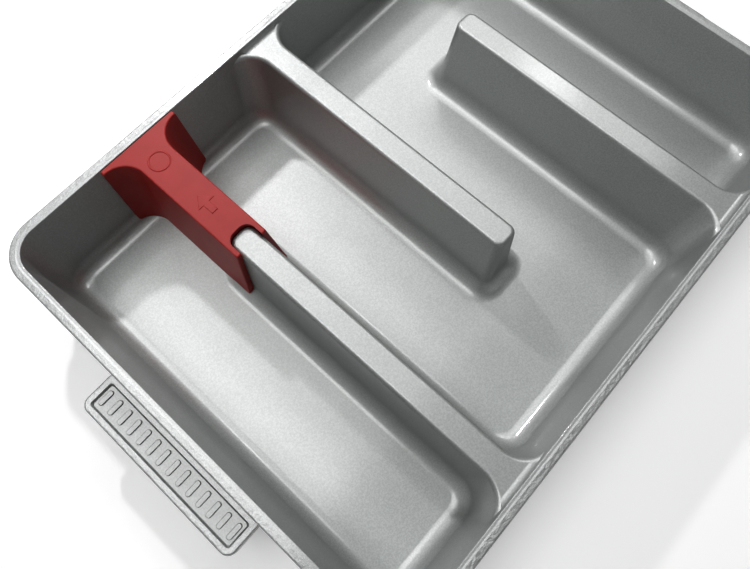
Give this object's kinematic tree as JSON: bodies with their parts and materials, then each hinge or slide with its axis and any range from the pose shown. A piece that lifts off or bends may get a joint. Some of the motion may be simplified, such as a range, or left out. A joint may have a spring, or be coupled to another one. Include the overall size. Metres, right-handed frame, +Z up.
{
  "type": "brownie pan",
  "caption": "Rectangular cast pan with folded inner walls that make one long channel, end grip tabs and a lift-out silicone divider.",
  "frame": {"origin": "middle of the underside, on the surface that the pan rests on", "axes": "+X across the lanes from the lane that the divider closes off to the far lane, +Y along the lanes towards the wall that the divider seals against, +Z up"},
  "size_m": [0.346, 0.2286, 0.0508],
  "materials": {
    "cast_aluminium": "satin silver coat with a fine metallic speckle, over a lightly pebbled casting",
    "silicone": "matt moulded red silicone"
  },
  "bodies": {
    "pan": {"pan_casting": "cast_aluminium"},
    "divider": {"silicone_divider": "silicone"}
  },
  "joints": [
    {"name": "divider_lift", "type": "slide", "parent": "pan", "child": "divider", "axis": [0, 0, 1], "range_m": [0, 0.06]}
  ]
}
